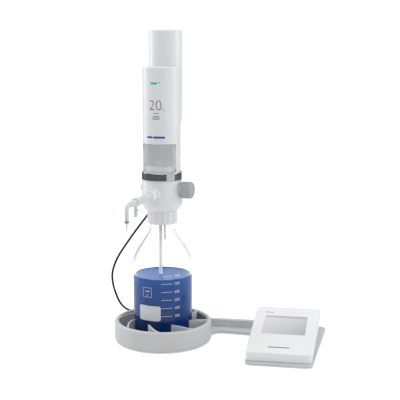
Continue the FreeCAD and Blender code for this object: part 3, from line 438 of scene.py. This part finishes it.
def clear_glass(name, tint, painted_edge_shade, index, ripple):
    """Clear glass whose colour is painted darker where it is seen edge on, as painted shade for the dark
    lines at its edges, with the faint ripple of its making.
    """
    material, shader = new_material(name)
    tree = material.node_tree
    shader.inputs["Roughness"].default_value = 0.0
    shader.inputs["IOR"].default_value = index
    shader.inputs["Transmission Weight"].default_value = 1.0
    shader.inputs["Specular IOR Level"].default_value = 0.2
    # Painted shade: the base colour turns grey where the glass is seen edge on.
    edge = tree.nodes.new("ShaderNodeLayerWeight")
    edge.inputs["Blend"].default_value = 0.5
    shades(material, edge.outputs["Facing"], [(0.55, tint), (0.95, painted_edge_shade)], shader.inputs["Base Color"])
    grain(material, noise(material, 35, 1, (1, 1, 0.4)), ripple, 0.2)
    return material


bottle_radius = 50.5
inner_radius = 47.5
bottle_foot = 4
bottle_floor = 9
bottle_top = 229
neck_radius = 20
neck_bore = 16
shoulder_foot = 149
shoulder_top = 195
shoulder_inset = 1.5
thread_crest = 22.3
first_thread = 211.6
thread_pitch = 4.2
thread_turns = 3
lip_radius = 21.2
lip_foot = 225
bottle_segments = 144
punt = [(0, 6.2), (10, 5.64), (19.8, bottle_foot)]
above_shoulder = (neck_radius, 210)
outside = punt + [(bottle_radius, bottle_foot), (bottle_radius, shoulder_foot), (neck_radius, shoulder_top),
                  above_shoulder]
outside = rounded(outside, [0, 0, 0, 8, 45, 16, 0], 10)
threads = []
for turn in range(thread_turns):
    z = first_thread + thread_pitch * turn
    threads += [(neck_radius, z - 1.55), (thread_crest, z - 0.6), (thread_crest, z + 0.6),
                (neck_radius, z + 1.55)]
lip = rounded([(neck_radius, lip_foot), (lip_radius, lip_foot), (lip_radius, bottle_top),
               (neck_bore, bottle_top)], [0, 1.2, 1.2, 0], 4)
inside = rounded([(neck_bore, bottle_top - 1), (neck_bore, shoulder_top - shoulder_inset),
                  (inner_radius, shoulder_foot - shoulder_inset), (inner_radius, bottle_floor),
                  (0, bottle_floor)], [0, 20, 42, 6, 0], 10)
# The second colour is the painted shade at the bottle's edges.
bottle_glass = clear_glass("bottle_glass", (0.985, 0.992, 0.99), (0.50, 0.54, 0.57), 1.47, 0.00012)
bottle_skin = lathed(outside[:-1] + threads + lip + inside, bottle_segments)
bottle = put_in_scene("bottle_blown", bottle_skin, bottle_glass, "stand")
bottle.visible_shadow = False
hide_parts("bottle")

# ---- Reagent ----
# Deep blue solution, filled to a little over 700 ml, with a fine meniscus round the glass. Its skin
# runs a little into the glass, so that no air shows between them.

liquid_level = 116
into_glass = 0.05
liquid_radius = inner_radius + into_glass
liquid_floor = bottle_floor - into_glass
meniscus = [(47.0, liquid_level + 0.6), (46.2, liquid_level + 0.2), (44.5, liquid_level + 0.03)]
reagent_line = rounded([(0, liquid_floor), (liquid_radius, liquid_floor),
                        (liquid_radius, liquid_level + 1.4)], [0, 6, 0], 10)
reagent_line += meniscus + [(0, liquid_level)]
reagent, reagent_shader = new_material("reagent_blue")
reagent_tree = reagent.node_tree
# Painted shade: the blue runs by height from near black at the bottle's floor to a lighter blue at the
# surface.
blue_foot = 0.01
blue_top = 0.1165
height_place = reagent_tree.nodes.new("ShaderNodeTexCoord")
height_split = reagent_tree.nodes.new("ShaderNodeSeparateXYZ")
height_span = reagent_tree.nodes.new("ShaderNodeMapRange")
height_span.inputs["From Min"].default_value = blue_foot
height_span.inputs["From Max"].default_value = blue_top
reagent_tree.links.new(height_place.outputs["Object"], height_split.inputs["Vector"])
reagent_tree.links.new(height_split.outputs["Z"], height_span.inputs["Value"])
reagent_blues_painted_shade = [(0.0, (0.0005, 0.004, 0.03)), (0.22, (0.001, 0.026, 0.18)), (0.95, (0.001, 0.085, 0.36)),
                 (0.998, (0.001, 0.095, 0.34))]
shades(reagent, height_span.outputs["Result"], reagent_blues_painted_shade, reagent_shader.inputs["Base Color"])
reagent_shader.inputs["Specular IOR Level"].default_value = 0.12
spread(reagent, noise(reagent, 30, 2), 0.03, 0.06, reagent_shader.inputs["Roughness"])
reagent_shader.inputs["IOR"].default_value = 1.33
grain(reagent, noise(reagent, 25, 1), 0.0003, 0.2)
put_in_scene("reagent", lathed(reagent_line, bottle_segments), reagent, "stand")

# ---- Marks on the bottle ----
# White fired enamel: graduation lines with their figures, a panel to write on and a plain frame
# with the bottle's volume. The lines are one strip repeated up the glass.

enamel = moulding("white_enamel", (0.66, 0.68, 0.70), 0.35, 0.0005, 0.000006, 0.03)
glass_radius = bottle_radius / 1000
enamel_thickness = 0.00008
line_count = 6
line_spacing = 0.014
first_line = 0.0545


def tree_with_inputs(name, inputs):
    """Geometry tree with named number inputs; gives the tree, its nodes and each input's identifier."""
    tree = bpy.data.node_groups.new(name, "GeometryNodeTree")
    kinds = {int: "NodeSocketInt", float: "NodeSocketFloat"}
    identifiers = {}
    for label, value in inputs.items():
        socket = tree.interface.new_socket(name=label, in_out="INPUT", socket_type=kinds[type(value)])
        identifiers[label] = socket.identifier
    tree.interface.new_socket(name="Geometry", in_out="OUTPUT", socket_type="NodeSocketGeometry")
    return tree, tree.nodes.new("NodeGroupInput"), tree.nodes.new("NodeGroupOutput"), identifiers


def grown(name, tree, identifiers, values):
    """Plain mesh from a geometry tree with these values on its named inputs."""
    seed = bpy.data.objects.new(name, bpy.data.meshes.new(name))
    scene.collection.objects.link(seed)
    modifier = seed.modifiers.new("tree", "NODES")
    modifier.node_group = tree
    for label, value in values.items():
        modifier[identifiers[label]] = value
    mesh = evaluated_mesh(seed)
    seed.modifiers.remove(modifier)
    bpy.data.objects.remove(seed)
    return mesh


line_values = {"Lines": line_count, "Spacing": line_spacing, "First Height": first_line,
               "Radius": glass_radius,
               "Start Angle": math.radians(-80.5), "Sweep Angle": math.radians(21), "Line Width": 0.0007,
               "Thickness": 2 * enamel_thickness}
line_tree, given, result, line_ids = tree_with_inputs("graduation_lines", line_values)
new = line_tree.nodes.new
join = line_tree.links.new
stack = new("GeometryNodeMeshLine")
first_point = new("ShaderNodeCombineXYZ")
step_up = new("ShaderNodeCombineXYZ")
strip = new("GeometryNodeCurveArc")
section = new("GeometryNodeCurvePrimitiveQuadrilateral")
solid_strip = new("GeometryNodeCurveToMesh")
repeated = new("GeometryNodeInstanceOnPoints")
realised = new("GeometryNodeRealizeInstances")
coated = new("GeometryNodeSetMaterial")
strip.mode = "RADIUS"
strip.inputs["Resolution"].default_value = 24
solid_strip.inputs["Fill Caps"].default_value = True
coated.inputs["Material"].default_value = enamel
join(given.outputs["First Height"], first_point.inputs["Z"])
join(given.outputs["Spacing"], step_up.inputs["Z"])
join(given.outputs["Lines"], stack.inputs["Count"])
join(first_point.outputs["Vector"], stack.inputs["Start Location"])
join(step_up.outputs["Vector"], stack.inputs["Offset"])
join(given.outputs["Radius"], strip.inputs["Radius"])
join(given.outputs["Start Angle"], strip.inputs["Start Angle"])
join(given.outputs["Sweep Angle"], strip.inputs["Sweep Angle"])
join(given.outputs["Thickness"], section.inputs["Width"])
join(given.outputs["Line Width"], section.inputs["Height"])
join(strip.outputs["Curve"], solid_strip.inputs["Curve"])
join(section.outputs["Curve"], solid_strip.inputs["Profile Curve"])
join(stack.outputs["Mesh"], repeated.inputs["Points"])
join(solid_strip.outputs["Mesh"], repeated.inputs["Instance"])
join(repeated.outputs["Instances"], realised.inputs["Geometry"])
join(realised.outputs["Geometry"], coated.inputs["Geometry"])
join(coated.outputs["Geometry"], result.inputs["Geometry"])
line_mesh = grown("graduation_lines", line_tree, line_ids, line_values)
put_in_scene("graduation_lines", line_mesh, enamel, "stand")


def wrapped(mesh, radius, azimuth, height):
    """Bends a flat mark in X and Y onto an upright cylinder, its thickness outwards. It is first
    cut into upright slices, so that it follows the curve."""
    slice_width = 0.0009
    cut = bmesh.new()
    cut.from_mesh(mesh)
    edge = min(vertex.co.x for vertex in cut.verts)
    far_edge = max(vertex.co.x for vertex in cut.verts)
    while edge < far_edge:
        bmesh.ops.bisect_plane(cut, geom=cut.verts[:] + cut.edges[:] + cut.faces[:], plane_co=(edge, 0, 0),
                               plane_no=(1, 0, 0))
        edge += slice_width
    cut.to_mesh(mesh)
    cut.free()
    for vertex in mesh.vertices:
        across, up, out = vertex.co
        angle = math.radians(azimuth) + across / radius
        reach = radius + out
        vertex.co = (reach * math.cos(angle), reach * math.sin(angle), height + up)
    mesh.update()
    return mesh


def lettering(text, height, thickness, thin=0.0, align="LEFT"):
    """Flat text mesh with its own thickness, its foot on the X axis and its figures this high."""
    figure_share_of_size = 0.7
    curve = bpy.data.curves.new("lettering", "FONT")
    curve.body = text
    curve.size = height / figure_share_of_size
    curve.align_x = align
    curve.extrude = thickness
    curve.offset = -thin
    holder = bpy.data.objects.new("lettering", curve)
    scene.collection.objects.link(holder)
    mesh = evaluated_mesh(holder)
    bpy.data.objects.remove(holder)
    return mesh


def bar(width, height, corner, thickness, columns=24, x=0.0, y=0.0):
    """Flat bar with round corners about a point, made of upright slices so that it can bend."""
    least_rise = 0.00002
    vertices = []
    half_w, half_h = width / 2, height / 2
    for i in range(columns + 1):
        along = -half_w * math.cos(math.pi * i / columns)
        over = max(0.0, abs(along) - (half_w - corner))
        rise = half_h - corner + math.sqrt(max(corner * corner - over * over, 0.0))
        rise = max(rise, least_rise)
        vertices += [(x + along, y - rise, thickness), (x + along, y + rise, thickness),
                     (x + along, y + rise, -thickness), (x + along, y - rise, -thickness)]
    faces = [(3, 2, 1, 0)]
    for i in range(columns):
        a, b = 4 * i, 4 * i + 4
        faces += [(a, b, b + 1, a + 1), (a + 1, b + 1, b + 2, a + 2), (a + 2, b + 2, b + 3, a + 3),
                  (a + 3, b + 3, b, a)]
    last = 4 * columns
    faces.append((last, last + 1, last + 2, last + 3))
    mesh = bpy.data.meshes.new("bar")
    mesh.from_pydata(vertices, [], faces)
    return mesh


def merged(name, meshes):
    """One mesh from several."""
    vertices = []
    faces = []
    for mesh in meshes:
        start = len(vertices)
        vertices += [tuple(vertex.co) for vertex in mesh.vertices]
        faces += [[start + i for i in polygon.vertices] for polygon in mesh.polygons]
    whole = bpy.data.meshes.new(name)
    whole.from_pydata(vertices, [], faces)
    return whole


figure_azimuth = -55
figure_height = 0.0045
figure_foot = first_line - 0.0022
figures = []
for i in range(line_count):
    figure = lettering(str(300 + 100 * i), figure_height, enamel_thickness)
    figures.append(wrapped(figure, glass_radius, figure_azimuth, figure_foot + line_spacing * i))
put_in_scene("graduation_figures", merged("graduation_figures", figures), enamel, "stand")
panel_azimuth = -105
panel_height = 0.059
panel = wrapped(bar(0.0405, 0.026, 0.004, enamel_thickness, 40), glass_radius, panel_azimuth, panel_height)
frame_azimuth = -109
frame_height = 0.095
frame_side = 0.0165
frame_half = 0.008
frame_line = 0.0006
frame_corner = 0.0002
frame_bars = [bar(frame_side, frame_line, frame_corner, enamel_thickness, 16, y=side * frame_half)
              for side in (-1, 1)]
frame_bars += [bar(frame_line, frame_side, frame_corner, enamel_thickness, 2, x=side * frame_half)
               for side in (-1, 1)]
volume = lettering("1000", 0.0032, enamel_thickness, align="CENTER")
unit_word = lettering("ml", 0.0026, enamel_thickness, align="CENTER")
labels = [(mesh, frame_height) for mesh in frame_bars] + [(volume, 0.0955), (unit_word, 0.0895)]
labels = [wrapped(mesh, glass_radius, frame_azimuth, height) for mesh, height in labels]
put_in_scene("bottle_labels", merged("bottle_labels", [panel] + labels), enamel, "stand")

# ---- Collar, valve block and their tubes ----
# Translucent white polypropylene collar on the neck, and above it the block that carries the
# valves, turned from a milky white fluoropolymer. Thin milky tubes hang into the bottle.

white_seal = moulding("white_seal", (0.80, 0.80, 0.79), 0.45, 0.0008, 0.00001, 0.02)
finish_nodes(["lip_seal", "inlet_cage", "outlet_cage", "valve_plug"], white_seal)
milky_plastic = moulding("milky_plastic", (0.80, 0.815, 0.83), 0.38, 0.0011, 0.000015, 0.015, coat=0.1,
                         milky=0.35)
finish_nodes(["screw_collar", "valve_block", "vent_cap", "arm_nut"], milky_plastic)
ceramic = moulding("ball_ceramic", (0.72, 0.74, 0.78), 0.12, 0.0009, 0.000003, 0.03, coat=0.4)
finish_nodes(["inlet_ball", "outlet_ball"], ceramic)


def milky_tube(name, tint, through, roughness):
    """Drawn fluoropolymer: white and cloudy, letting this share of light through, with fine upright lines."""
    material, shader = new_material(name)
    shader.inputs["Transmission Weight"].default_value = through
    shader.inputs["IOR"].default_value = 1.35
    clouded(material, tint, 0.03, 60)
    spread(material, noise(material, 200, 2), roughness - 0.05, roughness + 0.08,
           shader.inputs["Roughness"])
    grain(material, noise(material, 900, 2, (1, 1, 0.1)), 0.00001, 0.3)
    return material


dip_tube = milky_tube("dip_tube", (0.86, 0.87, 0.88), 0.05, 0.35)
finish_nodes(["intake_sleeve", "intake_tube", "return_tube", "cannula"], dip_tube)

# ---- Discharge arm and valve knob ----
# Drawn tube inside a stiff outer sleeve, bent down to the nozzle, and the cap that parks on a
# peg under it. The knob on the right turns the dosing valve; its rim is finely ribbed.

arm_plastic = milky_tube("arm_plastic", (0.78, 0.80, 0.815), 0.15, 0.32)
finish_nodes(["discharge_arm", "discharge_tube", "cap_holder", "tip_cap"], arm_plastic)
nozzle_plastic = moulding("nozzle_plastic", (0.30, 0.33, 0.35), 0.45, 0.0005, 0.00001, 0.04)
finish_nodes(["nozzle_nut"], nozzle_plastic)
knob_plastic = moulding("knob_plastic", (0.42, 0.43, 0.445), 0.48, 0.0006, 0.00002, 0.025)
finish_nodes(["valve_knob"], knob_plastic)

# ---- Clamp ring ----
# A rolled strip of polished stainless steel, drawn tight by one screw at the back. It holds the
# white housing down on the valve block.

ring_steel = metal("ring_steel", (0.70, 0.705, 0.71), 0.11, 260, (0.25, 0.25, 9))
finish_nodes(["clamp_ring"], ring_steel)

# ---- Housings and window ----
# Two smooth white mouldings: the round front body and the drive column behind it. A curved clear
# window, held by four small screws, closes the front body over the dosing cylinder.

head_plastic = moulding("head_plastic", (0.81, 0.82, 0.835), 0.38, 0.0008, 0.000002, 0.006, coat=0.12)
finish_nodes(["front_housing", "rear_housing"], head_plastic)


def thin_pane(name, tint, veil, share):
    """Thin clear wall: light goes straight through, behind a faint grey veil and a gloss."""
    material, shader = new_material(name)
    tree = material.node_tree
    shader.inputs["Coat Weight"].default_value = 0.6
    shader.inputs["Coat Roughness"].default_value = 0.03
    clouded(material, veil, 0.03, 30)
    spread(material, noise(material, 80, 2), 0.08, 0.16, shader.inputs["Roughness"])
    through = tree.nodes.new("ShaderNodeBsdfTransparent")
    through.inputs["Color"].default_value = (*tint, 1)
    both = tree.nodes.new("ShaderNodeMixShader")
    both.inputs["Fac"].default_value = share
    tree.links.new(through.outputs["BSDF"], both.inputs[1])
    tree.links.new(shader.outputs["BSDF"], both.inputs[2])
    tree.links.new(both.outputs["Shader"], tree.nodes["Material Output"].inputs["Surface"])
    return material


window_acrylic = thin_pane("window_acrylic", (0.97, 0.975, 0.98), (0.90, 0.91, 0.92), 0.36)
finish_nodes(["window_pane"], window_acrylic)
cylinder_glass = thin_pane("cylinder_glass", (0.96, 0.965, 0.97), (0.80, 0.81, 0.82), 0.1)
finish_nodes(["glass_cylinder"], cylinder_glass)
nodes["window_pane"].visible_shadow = False
nodes["glass_cylinder"].visible_shadow = False

screw_values = {"Head Radius": 0.0015, "Head Height": 0.0006, "Body Radius": 0.03152, "Lower Row": 0.299,
                "Rows Apart": 0.0395, "Left Turn": math.radians(-168.4), "Right Turn": math.radians(-31.6)}
screw_tree, given, result, screw_ids = tree_with_inputs("window_screw_rows", screw_values)
new = screw_tree.nodes.new
join = screw_tree.links.new
socket_share = 0.5
socket_depth = 0.00035
disc = new("GeometryNodeMeshCylinder")
disc.inputs["Vertices"].default_value = 24
top_ring = new("GeometryNodeExtrudeMesh")
top_ring.inputs["Offset Scale"].default_value = 0.0
narrowed = new("GeometryNodeScaleElements")
narrowed.inputs["Scale"].default_value = socket_share
socket_hole = new("GeometryNodeExtrudeMesh")
socket_hole.inputs["Offset Scale"].default_value = -socket_depth
laid = new("GeometryNodeTransform")
laid.inputs["Rotation"].default_value = (0, math.radians(90), 0)
rows = new("GeometryNodeMeshLine")
rows.inputs["Count"].default_value = 2
row_start = new("ShaderNodeCombineXYZ")
row_step = new("ShaderNodeCombineXYZ")
placed = new("GeometryNodeInstanceOnPoints")
sides = new("GeometryNodeJoinGeometry")
realised = new("GeometryNodeRealizeInstances")
coated = new("GeometryNodeSetMaterial")
coated.inputs["Material"].default_value = screw_steel
join(given.outputs["Head Radius"], disc.inputs["Radius"])
join(given.outputs["Head Height"], disc.inputs["Depth"])
join(disc.outputs["Mesh"], top_ring.inputs["Mesh"])
join(disc.outputs["Top"], top_ring.inputs["Selection"])
join(top_ring.outputs["Mesh"], narrowed.inputs["Geometry"])
join(top_ring.outputs["Top"], narrowed.inputs["Selection"])
join(narrowed.outputs["Geometry"], socket_hole.inputs["Mesh"])
join(top_ring.outputs["Top"], socket_hole.inputs["Selection"])
join(socket_hole.outputs["Mesh"], laid.inputs["Geometry"])
join(given.outputs["Body Radius"], row_start.inputs["X"])
join(given.outputs["Lower Row"], row_start.inputs["Z"])
join(given.outputs["Rows Apart"], row_step.inputs["Z"])
join(row_start.outputs["Vector"], rows.inputs["Start Location"])
join(row_step.outputs["Vector"], rows.inputs["Offset"])
join(rows.outputs["Mesh"], placed.inputs["Points"])
join(laid.outputs["Geometry"], placed.inputs["Instance"])
for turn_name in ("Left Turn", "Right Turn"):
    turn = new("ShaderNodeCombineXYZ")
    side = new("GeometryNodeTransform")
    join(given.outputs[turn_name], turn.inputs["Z"])
    join(turn.outputs["Vector"], side.inputs["Rotation"])
    join(placed.outputs["Instances"], side.inputs["Geometry"])
    join(side.outputs["Geometry"], sides.inputs["Geometry"])
join(sides.outputs["Geometry"], realised.inputs["Geometry"])
join(realised.outputs["Geometry"], coated.inputs["Geometry"])
join(coated.outputs["Geometry"], result.inputs["Geometry"])
screw_mesh = grown("window_screws", screw_tree, screw_ids, screw_values)
screw_heads = put_in_scene("window_screw_heads", screw_mesh, screw_steel, "head")
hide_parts("window_screws")

# ---- Drive inside the housings ----
# Geared motor in the column, turned lead screw on a ball bearing, brass nut and gear, and the
# wide grey rod that carries the PTFE piston in its glass cylinder.

rod_metal = metal("rod_metal", (0.33, 0.335, 0.345), 0.34, 300, (6, 6, 0.15), uneven=0.08)
finish_nodes(["piston_rod"], rod_metal)
plate_metal = metal("plate_metal", (0.60, 0.605, 0.615), 0.35, 350, (0.3, 6, 1))
finish_nodes(["lower_plate", "chassis_plate", "carriage"], plate_metal)
shaft_steel = metal("shaft_steel", (0.55, 0.55, 0.56), 0.22, 350, (1, 1, 8))
finish_nodes(["guide_rods", "lead_screw", "spindle_bearing", "motor_shaft", "motor_pinion"], shaft_steel)
motor_steel = metal("motor_steel", (0.45, 0.45, 0.455), 0.33, 300, (1, 1, 5))
finish_nodes(["drive_motor"], motor_steel)
gear_brass = metal("gear_brass", (0.62, 0.42, 0.14), 0.28, 350, (1, 1, 4))
finish_nodes(["spindle_gear", "spindle_nut"], gear_brass)
finish_nodes(["piston", "piston_seal"], white_seal)
oring_rubber = moulding("oring_rubber", (0.02, 0.02, 0.02), 0.55, 0.0006, 0.00001, 0.1)
finish_nodes(["cylinder_oring"], oring_rubber)

# ---- Marks on the head and on the unit ----
# Pad-printed inks a few hundredths of a millimetre thick: a teal stripe with a small cross, the
# volume in grey figures over three rules, and a dark blue stripe in two parts. The unit carries a
# teal stripe and a blue one.

ink_thickness = 0.00004
body_radius = 0.0315
label_azimuth = -97.5
teal_height = 0.443
volume_height = 0.3995
blue_height = 0.3545
teal_ink = moulding("teal_ink", (0.03, 0.55, 0.50), 0.4, 0.0005, 0.000003, 0.04)
grey_ink = moulding("grey_ink", (0.16, 0.165, 0.18), 0.45, 0.0005, 0.000003, 0.05)
blue_ink = moulding("blue_ink", (0.03, 0.09, 0.36), 0.4, 0.0005, 0.000003, 0.05)
teal_bars = [bar(0.0125, 0.0038, 0.0019, ink_thickness, x=-0.002),
             bar(0.0032, 0.0010, 0.0002, ink_thickness, 6, 0.0075, 0.0016),
             bar(0.0010, 0.0032, 0.0002, ink_thickness, 6, 0.0075, 0.0016)]
teal = [wrapped(mesh, body_radius, label_azimuth, teal_height) for mesh in teal_bars]
put_in_scene("head_teal_mark", merged("head_teal_mark", teal), teal_ink, "head")
figure_20 = lettering("20", 0.0165, ink_thickness, 0.0004, "CENTER")
word_ml = lettering("ml", 0.0034, ink_thickness)
grey = [wrapped(figure_20, body_radius, label_azimuth, volume_height),
        wrapped(word_ml, body_radius, label_azimuth + 18, volume_height)]
for rule_height, width, height in ((0.394, 0.009, 0.0011), (0.3885, 0.012, 0.0016), (0.385, 0.012, 0.0016)):
    rule = bar(width, height, height * 0.3, ink_thickness, x=0.0015)
    grey.append(wrapped(rule, body_radius, label_azimuth, rule_height))
put_in_scene("head_grey_marks", merged("head_grey_marks", grey), grey_ink, "head")
blue = [wrapped(bar(width, 0.0034, 0.0017, ink_thickness, x=x), body_radius, label_azimuth, blue_height)
        for width, x in ((0.0115, -0.0108), (0.0205, 0.0062))]
put_in_scene("head_blue_mark", merged("head_blue_mark", blue), blue_ink, "head")

cover_rise = 0.0175
cover_run = 0.203
slope = math.atan2(cover_rise, cover_run)
slope_start = Vector((0.2105, -0.104, 0.0205))
on_face = Matrix.Translation(slope_start) @ Matrix.Rotation(slope, 4, "X")
for name, width, height, x, y, ink in (("unit_teal_mark", 0.014, 0.0036, -0.0315, 0.1755, teal_ink),
                                       ("unit_blue_mark", 0.035, 0.0032, -0.002, 0.024, blue_ink)):
    mark = bar(width, height, height / 2, ink_thickness, x=x, y=y)
    mark.transform(on_face)
    put_in_scene(name, mark, ink, "stand")
